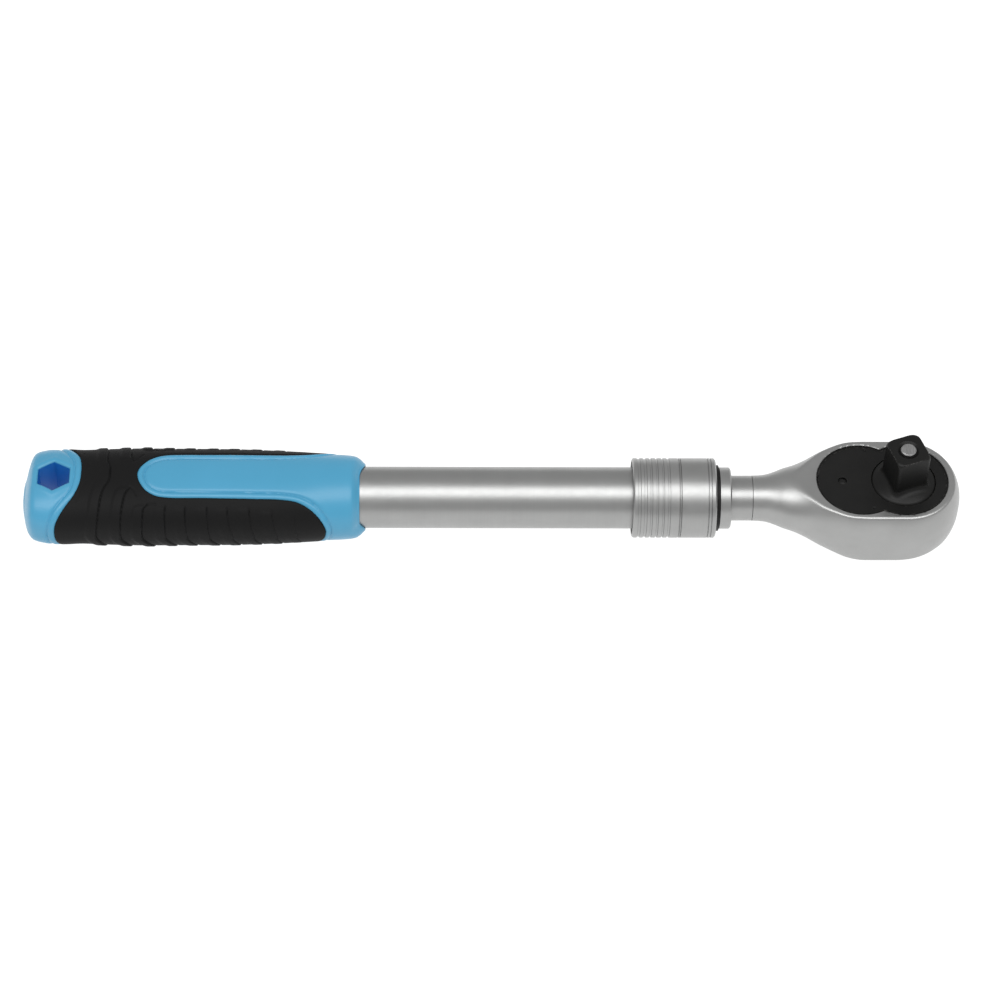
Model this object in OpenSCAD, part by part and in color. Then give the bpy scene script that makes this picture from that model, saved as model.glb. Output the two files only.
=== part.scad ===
// Telescopic ratchet handle with a half-inch square drive.
// The origin is the centre of the square on the seat that a socket rests against.
// +X runs from the handle to the head, +Z points out of the square.

/* [Square drive] */
// Width across flats of the square drive
square_af = 12.7; // [12.5:0.05:12.8]
// Length of the square from its seat to its end
square_len = 15.7; // [15:0.1:16.2]
// Angle the square is turned from the bar's direction
square_turn = 20; // [0:5:45]
// Diameter of the round hub under the square
hub_d = 23.4; // [22:0.1:23.6]
// Diameter of the quick-release plunger's tip
pin_tip_d = 5.6; // [5.2:0.1:5.8]

/* [Ratchet] */
// Number of gear teeth
gear_teeth = 72; // [72]
// Diameter over the gear teeth
gear_d = 28.8; // [28.6:0.1:28.9]
// Width of the toothed part
gear_w = 12; // [10:0.1:12]
// Angle the pawl rocks between its two ends
pawl_swing = 12; // [12]
// Angle the lever turns between its two ends
lever_swing = 50; // [46:1:54]
// Travel of the quick-release plunger
button_travel = 3; // [2.5:0.1:3]

/* [Head] */
// Width of the head
head_w = 41; // [40:0.1:41]
// Thickness of the head
head_t = 22; // [21.8:0.1:22.4]
// Distance from the drive's centre to the head's tip
head_tip = 21.2; // [21:0.1:22]
// Distance from the seat down to the head's top face
head_drop = 1.2; // [1.2]
// Depth of the cover plate below the head's top face
plate_recess = 0.7; // [0.6:0.1:0.8]

/* [Bar and tube] */
// Diameter of the neck and of the sliding bar
bar_d = 16.4; // [16.4]
// Outer diameter of the tube
tube_d = 22.4; // [22.4]
// Number of locked lengths
stops = 7; // [4:1:7]
// Distance between locked lengths
stop_pitch = 23; // [20:1:23]
// Distance from the drive's centre to the tube's front end
tube_front = 62.5; // [62.5]
// Distance from the drive's centre to the tube's rear end
tube_rear = 298; // [290:1:299]

/* [Lock collar] */
// Outer diameter of the sliding collar
collar_d = 29; // [29:0.1:30]
// Length of the collar
collar_len = 30.2; // [30.2]
// Travel of the collar
collar_travel = 6; // [5.5:0.1:6]
// Diameter of the locking balls
ball_d = 5; // [5]

/* [Handle] */
// Distance from the drive's centre to the handle's front end
handle_front = 194.8; // [190:0.1:200]
// Distance from the drive's centre to the handle's rear end
handle_rear = 319.6; // [318:0.1:324]
// Width of the handle at the palm
handle_w = 38.4; // [37:0.1:40]
// Thickness of the handle at the palm
handle_t = 28.6; // [28:0.1:30]
// Width across flats of the hexagonal hanging hole
hex_af = 11.5; // [10:0.1:12]
// Distance from the handle's rear end to the hanging hole's centre
hex_in = 12; // [10.5:0.1:13]

/* [Hidden] */
$fn = 96;
e = 0.01;
axis_z = -head_drop - head_t / 2;      // height of the bar's axis
z_top = -head_drop;                    // head's top face
z_bot = -head_drop - head_t;           // head's back face
plate_top = z_top - plate_recess;
plate_bot = plate_top - 1.8;
floor_z = z_bot + 5.5;                 // floor of the gear pocket
lobe_x = -15.6;                        // centre of the rear lobe
lobe_r = 16.1;                         // rear lobe of the plate recess
lobe_r2 = 16.2;                        // front lobe of the plate recess
pawl_x = -22.2;                        // pawl pivot
shaft_x = -28.1;                       // selector pivot
gear_r = gear_d / 2;
root_r = gear_r - 0.8;
tooth = 360 / gear_teeth;
gear_z0 = floor_z + 0.1;
gear_z1 = gear_z0 + gear_w;
det_z = square_len - 7.9;              // height of the detent ball
det_r = 2.4;
det_c = square_af / 2 + 0.8 - det_r;   // ball centre's distance from the drive axis
ramp = 0.3;                            // plunger's ramp, ball travel per plunger travel
ball_r = ball_d / 2;
ball_x = -79;                          // locking balls
groove_deep = 1.3;
ball_c = bar_d / 2 - groove_deep + ball_r;
lock_ramp = 0.225;                     // collar's ramp, ball travel per collar travel
collar_x1 = -68.1;
collar_x0 = collar_x1 - collar_len;
tube_r = tube_d / 2;
hex_x = -handle_rear + hex_in;

chrome = [0.72, 0.73, 0.74];
black = [0.10, 0.10, 0.11];
steel = [0.80, 0.81, 0.83];
blue = [0.25, 0.62, 0.85];
rubber = [0.15, 0.15, 0.16];

// ---------- helpers ----------

// Solid turned about the bar's axis: points are [x, radius]
module turned(pts) {
    translate([0, 0, axis_z]) rotate([0, 90, 0]) rotate_extrude()
        polygon([for (p = pts) [p[1], p[0]]]);
}
// Solid turned about the drive's axis: points are [radius, z]
module spun(pts) rotate_extrude() polygon(pts);
module disc(r, z0, z1) translate([0, 0, z0]) cylinder(r = r, h = z1 - z0);
// Tube-shaped ring about the bar's axis
module bar_ring(ri, ro, x0, x1) {
    translate([x0, 0, axis_z]) rotate([0, 90, 0]) difference() {
        cylinder(r = ro, h = x1 - x0);
        translate([0, 0, -1]) cylinder(r = ri, h = x1 - x0 + 2);
    }
}
function mix(a, b, t) = a + (b - a) * t;
// Smooth value at x from a table of [x, value] design stations
function ease(t) = t * t * (3 - 2 * t);
function rising(t, x, i = 0) =
    x <= t[0][0] ? t[0][1] :
    x >= t[len(t) - 1][0] ? t[len(t) - 1][1] :
    x <= t[i + 1][0] ? mix(t[i][1], t[i + 1][1], (x - t[i][0]) / (t[i + 1][0] - t[i][0])) :
    rising(t, x, i + 1);
// Coil of round wire about Z from z0 to z1, with its ends closed flat
module coil(r, wire, z0, z1, turns, seg = 16, sides = 8) {
    n = turns * seg;
    polyhedron(
        points = [for (i = [0 : n], k = [0 : sides - 1])
            let (a = 360 * i / seg, b = 360 * k / sides, q = r + wire / 2 * cos(b))
            [q * cos(a), q * sin(a), mix(z0, z1, i / n) + wire / 2 * sin(b)]],
        faces = concat(
            [[for (k = [0 : sides - 1]) k]],
            [for (i = [0 : n - 1], k = [0 : sides - 1]) let (m = (k + 1) % sides)
                [i * sides + k, (i + 1) * sides + k, (i + 1) * sides + m]],
            [for (i = [0 : n - 1], k = [0 : sides - 1]) let (m = (k + 1) % sides)
                [i * sides + k, (i + 1) * sides + m, i * sides + m]],
            [[for (k = [sides - 1 : -1 : 0]) n * sides + k]]));
}

// ---------- ratchet head ----------

// Half width of the head and flare along X
flare = [[-54.5, 12.8], [-43, 14.6], [-38, 15.8], [-33, 17.0], [-29, 18.0], [-26, 18.8], [-23, 19.5], [-20, 20.05], [-17, 20.5]];
function head_half(x) = rising(flare, x) * (x > -17 ? head_w / 41 : 1);
module head_plan() {
    r = head_w / 2; c = head_tip - r;
    xs = [for (x = [-54.5 : 1.5 : -17]) x];
    polygon(concat(
        [for (x = xs) [x, head_half(x)]],
        [for (a = [90 : -6 : -90]) [c + r * cos(a), r * sin(a)]],
        [for (i = [len(xs) - 1 : -1 : 0]) [xs[i], -head_half(xs[i])]]));
}
module two_lobes(r1, r2) {
    translate([lobe_x, 0]) circle(r = r1);
    circle(r = r2);
}
module lobes(r1, r2, z0, z1) translate([0, 0, z0]) linear_extrude(z1 - z0) two_lobes(r1, r2);

// The head's side wall in section: straight up from the back, then leaning in to the top
module head_wall() {
    w = head_w / 2; c = head_tip - w;
    side = [[w - 0.4, 0], [w, 0.7], [w, 13], [w - 0.35, 15.9], [w - 0.95, 18.3], [w - 1.75, 20.4], [w - 2.65, head_t]];
    translate([-56, 0, z_bot]) rotate([90, 0, 90]) linear_extrude(56 + c)
        polygon(concat(side, [for (i = [len(side) - 1 : -1 : 0]) [-side[i][0], side[i][1]]]));
    translate([c, 0, z_bot]) rotate_extrude() polygon(concat([[0, 0]], side, [[0, head_t]]));
}
// The head's plan with its leaning walls, turned down to the round neck
module head_outside() {
    intersection() {
        head_wall();
        translate([0, 0, z_bot - 1]) linear_extrude(head_t + 2) offset(delta = 0.01) head_plan();
        turned([[-54.5, 0], [-54.5, 8.2], [-53, 8.25], [-50, 8.6], [-46.3, 9.5], [-43, 10.3],
                [-39.3, 11.1], [-35, 13.6], [-30, 17], [-25, 19.8], [-20, 22.2], [-14, 23.5],
                [head_tip + 1, 23.5], [head_tip + 1, 0]]);
    }
}
module ratchet_head() color(chrome) difference() {
    union() {
        head_outside();
        // spigot into the sliding bar
        turned([[-71.6, 0], [-71.6, 4.6], [-71.2, 5], [-54.6, 5], [-54.5, 8.2], [-53.9, 8.2], [-53.9, 0]]);
    }
    lobes(lobe_r, lobe_r2, plate_bot, z_top + 1);
    lobes(lobe_r + 0.4, lobe_r2 + 0.4, plate_top - 0.6, plate_top + 0.1);
    translate([lobe_x, 0, 0]) disc(15.2, floor_z, plate_bot + e);
    disc(gear_r + 0.5, floor_z, plate_bot + e);
    disc(9.06, z_bot - 1, floor_z + e);
    translate([shaft_x, 0, 0]) disc(2.26, z_bot - 1, floor_z + e);
    translate([pawl_x, 0, 0]) disc(1.5, floor_z - 4, floor_z + e);
}

module cover_plate() color(black) difference() {
    union() {
        lobes(lobe_r - 0.12, lobe_r2 - 0.12, plate_bot, plate_top - 0.6);
        lobes(lobe_r - 0.75, lobe_r2 - 0.75, plate_top - 0.7, plate_top);
    }
    disc(hub_d / 2 + 0.06, plate_bot - 1, plate_top + 1);
    translate([pawl_x, 0, 0]) disc(1.6, plate_bot - 1, plate_top + 1);
    // two punch marks
    for (p = [[-13.2, 14.2], [-11.4, -12.6]])
        translate([p[0], p[1], plate_top - 0.35]) cylinder(r1 = 0.25, r2 = 0.65, h = 0.36);
}

module retaining_ring() color(steel) translate([0, 0, plate_top - 0.56]) linear_extrude(0.5) difference() {
    two_lobes(lobe_r + 0.3, lobe_r2 + 0.3);
    two_lobes(lobe_r - 0.65, lobe_r2 - 0.65);
    // the gap between the ring's two ends
    translate([lobe_x - lobe_r - 2, -2]) square([4, 4]);
}

// ---------- drive gear ----------

// Gear outline; grow widens the teeth and lifts the tips for the running gap
module gear_2d(grow = 0) {
    tip = 0.3 + grow * 3; root = 2.2 + grow * 2;
    polygon([for (i = [0 : gear_teeth - 1], k = [0 : 3])
        let (a = i * tooth + [-root, -tip, tip, root][k],
             r = [root_r, gear_r, gear_r, root_r][k] + grow) [r * cos(a), r * sin(a)]]);
}
// Side view of the square through its flats, bevelled at the end, drawn out across it
module for_square(a) {
    h = square_af / 2;
    rotate([90, 0, square_turn + a]) linear_extrude(30, center = true)
        polygon([[-h, -1], [h, -1], [h, square_len - 1], [h - 0.25, square_len - 0.4], [h - 0.75, square_len],
                 [-h + 0.75, square_len], [-h + 0.25, square_len - 0.4], [-h, square_len - 1]]);
}
module drive_gear() color(black) difference() {
    union() {
        translate([0, 0, gear_z0]) linear_extrude(gear_w) gear_2d();
        disc(13.2, gear_z1 - e, plate_bot - 0.06);
        spun([[0, gear_z0 + 1], [0, 0], [hub_d / 2 - 2, 0], [hub_d / 2 - 1.2, -0.2],
              [hub_d / 2 - 0.5, -0.7], [hub_d / 2 - 0.1, -1.4], [hub_d / 2, -2.2], [hub_d / 2, gear_z0 + 1]]);
        disc(9, z_bot + 0.3, gear_z0 + e);
        // the square, its corners rounded and its end bevelled
        intersection() {
            disc(8.45, -1, square_len);
            for_square(0);
            for_square(90);
        }
    }
    // plunger bore with a chamfered mouth
    disc(pin_tip_d / 2 + 0.05, -13, square_len + 1);
    translate([0, 0, square_len - 0.65]) cylinder(r1 = pin_tip_d / 2 + 0.05, r2 = pin_tip_d / 2 + 0.75, h = 0.66);
    // button bore and its snap-ring groove
    disc(4.6, z_bot - 1, -12.5);
    disc(5.15, -22.4, -21.55);
    // detent ball's hole, staked at its mouth
    rotate([0, 0, square_turn]) translate([0, 0, det_z]) rotate([0, 90, 0]) {
        cylinder(r = 2.45, h = square_af / 2 - 0.35);
        cylinder(r = 2.12, h = square_af / 2 + 1);
    }
}
module release_button() color(steel) {
    c = det_c - det_r / sqrt(1 + ramp * ramp) - 0.05;   // ramp radius at the ball
    zc = det_z + det_r * ramp / sqrt(1 + ramp * ramp);  // height of that contact
    r_t = pin_tip_d / 2;
    spun([[0, -25.9], [3.2, -25.9], [3.5, -25.8], [3.7, -25.5], [3.75, -25.2], [3.75, -21.5], [4.5, -21.5], [4.5, -19], [r_t, -19],
          [r_t, det_z - 5.3], [2.1, det_z - 4.7], [1.75, det_z - 4.35], [1.6, det_z - 4], [c - 3.3 * ramp - 0.03, det_z - 3.6],
          [c - 3.3 * ramp, zc - 3.3], [c + 0.3 * ramp, zc + 0.3],
          [c + 0.3 * ramp, zc + 2.6], [r_t, zc + 3.0],
          [r_t, square_len + 0.1], [r_t - 0.4, square_len + 0.5], [0, square_len + 0.5]]);
}
module release_spring() color(steel) coil(3.75, 0.6, -18.65, -12.85, 4);
module button_retainer() color(steel) difference() {
    disc(5.1, -22.35, -21.6);
    disc(3.85, -23, -21);
    translate([0, -0.8, -23]) cube([6, 1.6, 2]);
}
module detent_ball() color(steel) rotate([0, 0, square_turn]) translate([det_c, 0, det_z]) sphere(r = det_r);

// ---------- pawl and reversing lever ----------

pawl_z0 = gear_z0 + 0.1;
pawl_z1 = gear_z1 - 0.2;
lever_a = -lever_swing / 2;
// Pawl outline at the middle of its swing, about its pivot at [0, 0]
module pawl_2d() {
    h = pawl_swing / 2;
    g = -pawl_x;
    difference() {
        polygon([for (s = [1, -1], k = [0 : 5])
            let (i = s > 0 ? k : 5 - k,
                 p = [[-3.4, 3.3], [0.4, 8.4], [5.2, 11.9], [10.6, 13.4], [13.6, 11.2], [9.6, 0.2]][i])
            [p[0], s * p[1]]]);
        circle(r = 1.55);
        // clearance for the plunger that swings behind the pawl
        translate([shaft_x - pawl_x, 0]) circle(r = 3.6);
        for (s = [1, -1]) translate([g * cos(h), s * g * sin(h)]) {
            rotate(s * h) gear_2d(0.05);
            // the middle of the pawl stays clear of the tooth tips
            intersection() {
                circle(r = gear_r + 0.25);
                translate([-30, s > 0 ? -3 : -6.2]) square([60, 9.2]);
            }
        }
    }
}
module pawl() color(steel) translate([pawl_x, 0, pawl_z0]) linear_extrude(pawl_z1 - pawl_z0)
    rotate(pawl_swing / 2) pawl_2d();
module pawl_pin() color(steel) translate([pawl_x, 0, 0])
    spun([[0, floor_z - 4], [1.5, floor_z - 4], [1.5, plate_top - 0.75], [1.3, plate_top - 0.45],
          [0.8, plate_top - 0.25], [0, plate_top - 0.15]]);

sel_z = (pawl_z0 + pawl_z1) / 2;
module selector_shaft() color(steel) translate([shaft_x, 0, 0]) rotate([0, 0, lever_a]) difference() {
    union() {
        disc(2.5, floor_z + 0.05, plate_bot - 0.1);
        disc(2.2, z_bot - 4.2, floor_z + 0.06);
    }
    translate([-2, 0, sel_z]) rotate([0, 90, 0]) cylinder(r = 1.05, h = 6);
    translate([0, 0, z_bot - 2.7]) rotate([90, 0, 0]) translate([0, 0, -10]) cylinder(r = 0.76, h = 20);
}
module selector_plunger() color(steel) translate([shaft_x, 0, sel_z]) rotate([0, 0, lever_a]) rotate([0, 90, 0])
    rotate_extrude() polygon(concat([[0, 0.9], [0.8, 0.9], [1, 1.1]],
        [for (a = [0 : 15 : 90]) [cos(a), 2.45 + sin(a)]]));
module selector_spring() color(steel) translate([shaft_x, 0, sel_z]) rotate([0, 0, lever_a]) rotate([0, 90, 0])
    coil(0.7, 0.28, -1.8, 0.05, 3, 12, 6);
// Thumb lever: a round boss and a tapered paddle with grip steps
module reversing_lever() color(black) translate([shaft_x, 0, 0]) rotate([0, 0, lever_a]) difference() {
    union() {
        spun([[0, z_bot - 5], [5.2, z_bot - 5], [6.2, z_bot - 4.6], [6.8, z_bot - 3.8], [7, z_bot - 3],
              [7, z_bot - 0.9], [6.6, z_bot - 0.4], [0, z_bot - 0.4]]);
        intersection() {
            translate([0, 0, z_bot - 4.6]) linear_extrude(4.2) union() {
                polygon([[0, 6.8], [-6, 6.2], [-12, 5], [-14.6, 4], [-14.6, -4], [-12, -5], [-6, -6.2], [0, -6.8]]);
                translate([-13.2, 0]) circle(r = 4.25);
            }
            rotate([90, 0, 0]) translate([0, 0, -10]) linear_extrude(20)
                polygon([[-20, z_bot - 4.7], [-14, z_bot - 4.7], [-6, z_bot - 3.4], [0, z_bot - 3.4], [0, z_bot - 0.4],
                         [-9, z_bot - 0.4], [-13, z_bot - 1.2], [-20, z_bot - 2.6]]);
        }
    }
    disc(2.22, z_bot - 4.3, z_bot + 1);
    translate([0, 0, z_bot - 2.7]) rotate([90, 0, 0]) translate([0, 0, -10]) cylinder(r = 0.76, h = 20);
    // grip steps across the paddle
    for (x = [-9.4, -11.6, -13.8]) translate([x - 0.4, -8, z_bot - 5.2]) cube([0.8, 16, 1.0]);
}
module lever_pin() color(steel) translate([shaft_x, 0, z_bot - 2.7]) rotate([0, 0, lever_a]) rotate([90, 0, 0])
    translate([0, 0, -6.6]) cylinder(r = 0.75, h = 13.2);

// ---------- bar, tube and collar ----------

bar_rear = ball_x - (stops - 1) * stop_pitch - 18;
module inner_bar() color(chrome) difference() {
    turned([[bar_rear, 0], [bar_rear, bar_d / 2 - 0.8], [bar_rear + 0.8, bar_d / 2],
            [-54.7, bar_d / 2], [-54.6, bar_d / 2 - 0.1], [-54.6, 0]]);
    turned([[-72, 0], [-72, 5.02], [-54, 5.02], [-54, 0]]);
    for (i = [0 : stops - 1]) translate([ball_x - i * stop_pitch, 0, axis_z]) rotate([0, 90, 0])
        rotate_extrude() translate([ball_c, 0]) circle(r = ball_r + 0.05);
    bar_ring(bar_d / 2 - 1, bar_d / 2 + 2, bar_rear + 3, bar_rear + 4.4);
}
module stop_ring() color(steel) difference() {
    bar_ring(bar_d / 2 - 0.95, 9.1, bar_rear + 3.1, bar_rear + 4.3);
    translate([bar_rear, -1, axis_z]) cube([8, 2, 12]);
}
module outer_tube() color(chrome) difference() {
    turned([[-tube_rear, 0], [-tube_rear, tube_r], [collar_x1 + 0.05, tube_r], [collar_x1 + 0.05, tube_r - 0.8],
            [collar_x1 + 1.25, tube_r - 0.8], [collar_x1 + 1.25, tube_r - 0.35], [collar_x1 + 1.6, tube_r],
            [-tube_front - 0.5, tube_r], [-tube_front, tube_r - 0.5], [-tube_front, 0]]);
    turned([[-tube_rear - 1, 0], [-tube_rear - 1, 9.2], [bar_rear + 4.3 + (stops - 1) * stop_pitch + 0.2, 9.2],
            [bar_rear + 4.9 + (stops - 1) * stop_pitch + 0.2, bar_d / 2 + 0.05],
            [-tube_front - 0.4, bar_d / 2 + 0.05], [-tube_front + 0.1, bar_d / 2 + 0.45], [-tube_front + 0.1, 0]]);
    // seat ring's groove
    bar_ring(tube_r - 0.6, tube_r + 3, collar_x0 + 0.55, collar_x0 + 1.85);
    // ball holes
    for (a = [90, 210, 330]) translate([ball_x, 0, axis_z]) rotate([a - 90, 0, 0]) cylinder(r = ball_r + 0.05, h = 20);
}

ramp_x = ball_x - ball_r * lock_ramp / sqrt(1 + lock_ramp * lock_ramp);
ramp_r = ball_c + ball_r / sqrt(1 + lock_ramp * lock_ramp) + 0.04;
function ramp_at(x) = ramp_r + lock_ramp * (x - ramp_x);
collar_pocket = 13.35;
collar_shoulder = -84;
// Outside of the collar: ribs at the rear, a plain band, two fine grooves at the front
function rib(x0, x1, d) = [for (i = [1 : 5]) [mix(x0, x1, i / 6), collar_d / 2 - d * (1 - sin(180 * i / 6))]];
module lock_collar() color(chrome) difference() {
    R = collar_d / 2;
    // grooves between the ribs: [start, end] from the rear edge
    g = [[1.75, 2.85], [3.95, 5.05], [6.15, 7], [8.35, 9.15], [10.55, 11.3], [12.55, 13.5],
         [16.6, 17], [17.3, 17.6], [27.1, 27.5], [28.2, 28.6]];
    turned(concat(
        [[collar_x0, 0], [collar_x0, R - 0.6], [collar_x0 + 0.25, R - 0.2], [collar_x0 + 0.6, R]],
        [for (k = g, p = [[k[0], R], [k[0] + 0.12, R - 0.35], [k[1] - 0.12, R - 0.35], [k[1], R]]) [collar_x0 + p[0], p[1]]],
        [[collar_x1 - 0.5, R], [collar_x1, R - 0.5], [collar_x1, 0]]));
    turned([[collar_x0 - 1, 0], [collar_x0 - 1, collar_pocket], [collar_shoulder, collar_pocket],
            [collar_shoulder, tube_r + 0.05], [-81, tube_r + 0.05], [-80.4, ramp_at(-80.3)], [-80.3, ramp_at(-80.3)],
            [-73.1, ramp_at(-73.1)], [-73, collar_pocket], [-70.3, collar_pocket], [-70.2, tube_r + 0.05],
            [collar_x1 + 1, tube_r + 0.05], [collar_x1 + 1, 0]]);
}
module collar_spring() color(steel) translate([0, 0, axis_z]) rotate([0, 90, 0])
    coil(12.3, 0.9, collar_x0 + 1.8 + 0.5, collar_shoulder - 0.5, 4, 24);
module spring_seat() color(steel) difference() {
    bar_ring(tube_r - 0.55, 13.2, collar_x0 + 0.6, collar_x0 + 1.8);
    translate([collar_x0, -1, axis_z - 16]) cube([4, 2, 16]);
}
module collar_clip() color(black) difference() {
    bar_ring(tube_r - 0.75, 12, collar_x1 + 0.1, collar_x1 + 1.2);
    translate([collar_x1, -1.5, axis_z - 16]) cube([4, 3, 16]);
}
module lock_ball(a) color(steel) translate([ball_x, 0, axis_z]) rotate([a - 90, 0, 0])
    translate([0, 0, ball_c]) sphere(r = ball_r);
module lock_ball_1() lock_ball(90);
module lock_ball_2() lock_ball(210);
module lock_ball_3() lock_ball(330);
module tube_plug() color(rubber) turned([[-tube_rear - 1.5, 0], [-tube_rear - 1.5, tube_r - 0.6], [-tube_rear - 0.01, tube_r - 0.6],
    [-tube_rear - 0.01, 9.18], [-tube_rear + 7, 9.18], [-tube_rear + 8, 8.4], [-tube_rear + 8, 0]]);

// ---------- handle ----------

// Share of the palm's size along the handle, by distance from its rear end
swell = [[0, 0.60], [1.2, 0.72], [3.5, 0.83], [6.5, 0.90], [12, 0.945], [20, 0.965], [30, 1], [62, 1], [86, 0.96],
         [101, 0.92], [114, 0.87], [121, 0.835], [123.6, 0.80], [124.8, 0.74]];
function sz(d) = rising(swell, d);
len_h = handle_rear - handle_front;
stations = [0, 1.2, 3.5, 6.5, 12, 20, 30, 45, 62, 74, 86, 101, 114, 121, 123.6, len_h];
module outline_x(half, extra) {
    polygon(concat(
        [for (d = stations) [-handle_rear + d, half * sz(d) + extra]],
        [for (i = [len(stations) - 1 : -1 : 0]) [-handle_rear + stations[i], -half * sz(stations[i]) - extra]]));
}
// Rounded oval across the handle
module oval_2d(hw, ht, p = 0.82) {
    polygon([for (a = [0 : 7.5 : 352.5])
        [ht * sign(sin(a)) * pow(abs(sin(a)), p), hw * sign(cos(a)) * pow(abs(cos(a)), p)]]);
}
module handle_body(cut = 0) {
    // three prisms crossed: plan outline, side outline and oval section
    intersection() {
        translate([0, 0, axis_z - 30]) linear_extrude(60) outline_x(handle_w / 2, -cut);
        translate([0, 0, axis_z]) rotate([90, 0, 0]) translate([0, 0, -30]) linear_extrude(60) outline_x(handle_t / 2, -cut);
        translate([-handle_rear + cut, 0, axis_z]) rotate([0, 90, 0]) linear_extrude(len_h - cut - (cut > 0 ? 2 : 0))
            oval_2d(handle_w / 2 - cut, handle_t / 2 - cut);
    }
}
// Plan view of the parts of the hard core that reach the surface
module core_zone_2d() {
    r = -handle_rear;
    // end cap with an arched edge
    polygon([[r - 1, -25], [r + 11.5, -25], [r + 12.5, -16], [r + 16, -12], [r + 20, -7], [r + 22.4, 0],
             [r + 20, 7], [r + 16, 12], [r + 12.5, 16], [r + 11.5, 25], [r - 1, 25]]);
    // top panel, round at the rear, opening into the front band
    translate([r + 51.5, 0]) circle(r = 9.8);
    polygon([[r + 51.5, 9.8], [r + 86, 9.8], [r + 96, 11.2], [r + 103, 14], [r + 108, 18], [r + 110.5, 25],
             [r + 130, 25], [r + 130, -25], [r + 110.5, -25], [r + 108, -18], [r + 103, -14], [r + 96, -11.2],
             [r + 86, -9.8], [r + 51.5, -9.8]]);
}
module core_zone() translate([0, 0, axis_z - 30]) linear_extrude(60) core_zone_2d();
module tube_room() turned([[-tube_rear - 1.6, 0], [-tube_rear - 1.6, tube_r + 0.02], [-handle_front + 5, tube_r + 0.02], [-handle_front + 5, 0]]);
module hanging_hole() translate([hex_x, 0, axis_z - 30]) rotate([0, 0, 90]) cylinder(r = hex_af / sqrt(3), h = 60, $fn = 6);
module handle_core() color(blue) difference() {
    union() {
        handle_body(2.2);
        intersection() { handle_body(); core_zone(); }
    }
    tube_room();
    hanging_hole();
}
module grip_overmould() color(rubber) difference() {
    handle_body();
    handle_body(2.2);
    core_zone();
    // grip grooves round the sides
    for (i = [0 : 7]) translate([-handle_rear + 45 + 8 * i, 0, axis_z]) for (s = [-1, 1])
        translate([-0.4, s > 0 ? 14 : -34, -30]) cube([0.8, 20, 60]);
}

ratchet_head();
cover_plate();
retaining_ring();
drive_gear();
release_button();
release_spring();
button_retainer();
detent_ball();
pawl();
pawl_pin();
selector_shaft();
reversing_lever();
lever_pin();
selector_plunger();
selector_spring();
inner_bar();
stop_ring();
outer_tube();
lock_collar();
collar_spring();
spring_seat();
collar_clip();
lock_ball_1();
lock_ball_2();
lock_ball_3();
tube_plug();
handle_core();
grip_overmould();
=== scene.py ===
import bpy
import math
import numpy as np
from mathutils import Matrix, Vector


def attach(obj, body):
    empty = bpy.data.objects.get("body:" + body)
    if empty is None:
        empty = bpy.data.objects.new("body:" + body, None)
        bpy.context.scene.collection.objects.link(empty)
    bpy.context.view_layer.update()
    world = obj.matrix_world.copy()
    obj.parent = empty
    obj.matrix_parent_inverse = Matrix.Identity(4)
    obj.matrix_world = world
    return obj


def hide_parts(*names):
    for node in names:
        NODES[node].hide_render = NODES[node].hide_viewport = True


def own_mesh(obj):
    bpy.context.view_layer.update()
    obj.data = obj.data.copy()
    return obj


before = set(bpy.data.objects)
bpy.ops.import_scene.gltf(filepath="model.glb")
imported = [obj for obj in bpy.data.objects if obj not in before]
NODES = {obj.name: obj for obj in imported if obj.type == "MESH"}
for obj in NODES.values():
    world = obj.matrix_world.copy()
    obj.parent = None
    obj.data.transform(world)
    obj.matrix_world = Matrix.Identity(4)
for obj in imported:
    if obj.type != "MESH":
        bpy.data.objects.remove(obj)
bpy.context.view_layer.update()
MM = 0.001
AZ = -12.2            # height of the bar's axis, mm


# ---------------------------------------------------------------- mesh helpers
def make_object(name, verts, faces, sharp=35.0, smooth=True):
    """Object from vertices in mm and a list of integer arrays, each (faces, corners)."""
    me = bpy.data.meshes.new(name)
    v = np.asarray(verts, float) * MM
    me.vertices.add(len(v))
    me.vertices.foreach_set("co", v.astype(np.float32).ravel())
    faces = [np.asarray(f, np.int32) for f in faces if len(f)]
    loops = np.concatenate([f.ravel() for f in faces])
    size = np.concatenate([np.full(len(f), f.shape[1]) for f in faces])
    starts = np.concatenate([[0], np.cumsum(size)[:-1]]).astype(np.int32)
    me.loops.add(len(loops))
    me.loops.foreach_set("vertex_index", loops)
    me.polygons.add(len(starts))
    me.polygons.foreach_set("loop_start", starts)
    me.update(calc_edges=True)
    me.validate()
    me.polygons.foreach_set("use_smooth", np.full(len(me.polygons), smooth))
    if smooth and sharp:
        me.set_sharp_from_angle(angle=math.radians(sharp))
    ob = bpy.data.objects.new(name, me)
    bpy.context.scene.collection.objects.link(ob)
    return ob


def curve(table):
    """Smooth monotone curve through [(x, y), ...]."""
    xs, ys = np.array(table, float).T
    h = np.diff(xs)
    d = np.diff(ys) / h
    m = np.zeros(len(xs))
    for i in range(1, len(xs) - 1):
        if d[i - 1] * d[i] > 0:
            w1, w2 = 2 * h[i] + h[i - 1], h[i] + 2 * h[i - 1]
            m[i] = (w1 + w2) / (w1 / d[i - 1] + w2 / d[i])
    m[0], m[-1] = d[0], d[-1]
    x = np.unique(np.concatenate([np.linspace(xs[0], xs[-1], 3000), xs]))
    i = np.clip(np.searchsorted(xs, x, side="right") - 1, 0, len(h) - 1)
    t = (x - xs[i]) / h[i]
    y = (ys[i] * (1 + 2 * t) * (1 - t) ** 2 + m[i] * h[i] * t * (1 - t) ** 2
         + ys[i + 1] * t * t * (3 - 2 * t) + m[i + 1] * h[i] * t * t * (t - 1))
    return lambda q: np.interp(q, x, y)


def smax(a, b, k):
    return np.maximum(a, b) + np.maximum(k - np.abs(a - b), 0) ** 2 / (4 * k)


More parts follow.
